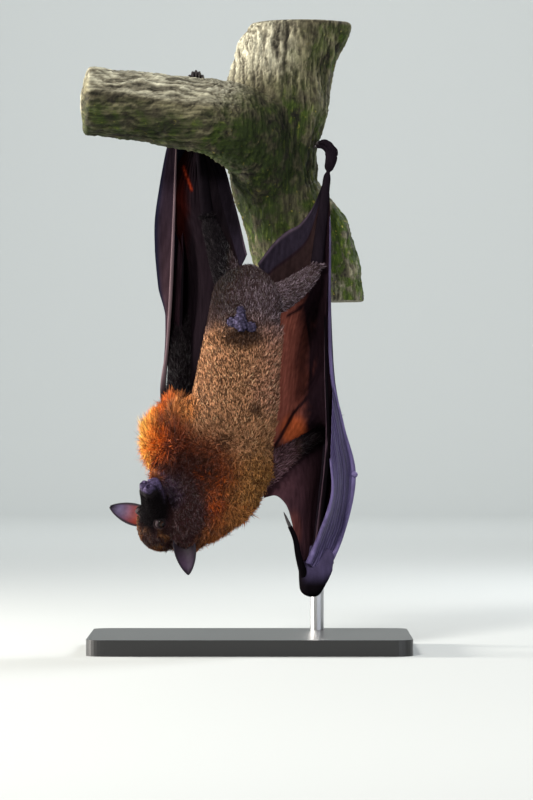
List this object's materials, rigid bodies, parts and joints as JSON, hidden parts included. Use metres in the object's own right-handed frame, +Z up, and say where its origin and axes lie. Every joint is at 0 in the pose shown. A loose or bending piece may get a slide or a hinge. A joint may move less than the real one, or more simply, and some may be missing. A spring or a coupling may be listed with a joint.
{
  "type": "large flying fox fruit bat model",
  "caption": "Life-size still model of a fruit bat hanging head down with folded wings from a forked branch on a plain display stand.",
  "frame": {"origin": "middle of the underside of the stand's base", "axes": "+Z up from the underside of the base; +X to the animal's right, which is the viewer's right in the picture; +Y behind the animal's back, so the picture looks along +Y"},
  "size_m": [0.328, 0.236, 0.632],
  "materials": {
    "stand_base": "satin",
    "steel": "satin",
    "bark": "matte",
    "eye": "gloss",
    "face_fur": "matte",
    "grey_fur": "matte",
    "belly_fur": "matte",
    "mantle_fur": "matte",
    "arm_fur": "matte",
    "bare_skin": "satin",
    "ear_skin": "matte",
    "limb_skin": "satin",
    "wing_skin": "satin"
  },
  "bodies": {
    "root": {"stand_rod": "steel", "stand_base": "stand_base", "perch_trunk": "bark", "perch_branch": "bark", "eye_right": "eye", "eye_left": "eye", "head": "face_fur", "pelvis": "grey_fur", "belly": "belly_fur", "chest": "mantle_fur", "neck": "mantle_fur", "groin": "bare_skin", "ear_right": "ear_skin", "ear_left": "ear_skin", "thigh_right": "grey_fur", "shank_right": "limb_skin", "foot_right": "limb_skin", "upper_arm_right": "arm_fur", "forearm_right": "limb_skin", "wrist_right": "limb_skin", "thumb_right": "limb_skin", "index_finger_right": "limb_skin", "third_finger_right": "limb_skin", "fourth_finger_right": "limb_skin", "fifth_finger_right": "limb_skin", "arm_membrane_right": "wing_skin", "fore_membrane_right": "wing_skin", "tail_membrane_right": "wing_skin", "finger_membrane_2_3_right": "wing_skin", "finger_membrane_3_4_right": "wing_skin", "finger_membrane_4_5_right": "wing_skin", "thigh_left": "grey_fur", "shank_left": "limb_skin", "foot_left": "limb_skin", "upper_arm_left": "arm_fur", "forearm_left": "limb_skin", "wrist_left": "limb_skin", "thumb_left": "limb_skin", "index_finger_left": "limb_skin", "third_finger_left": "limb_skin", "fourth_finger_left": "limb_skin", "fifth_finger_left": "limb_skin", "arm_membrane_left": "wing_skin", "fore_membrane_left": "wing_skin", "tail_membrane_left": "wing_skin", "finger_membrane_2_3_left": "wing_skin", "finger_membrane_3_4_left": "wing_skin", "finger_membrane_4_5_left": "wing_skin"}
  },
  "joints": []
}
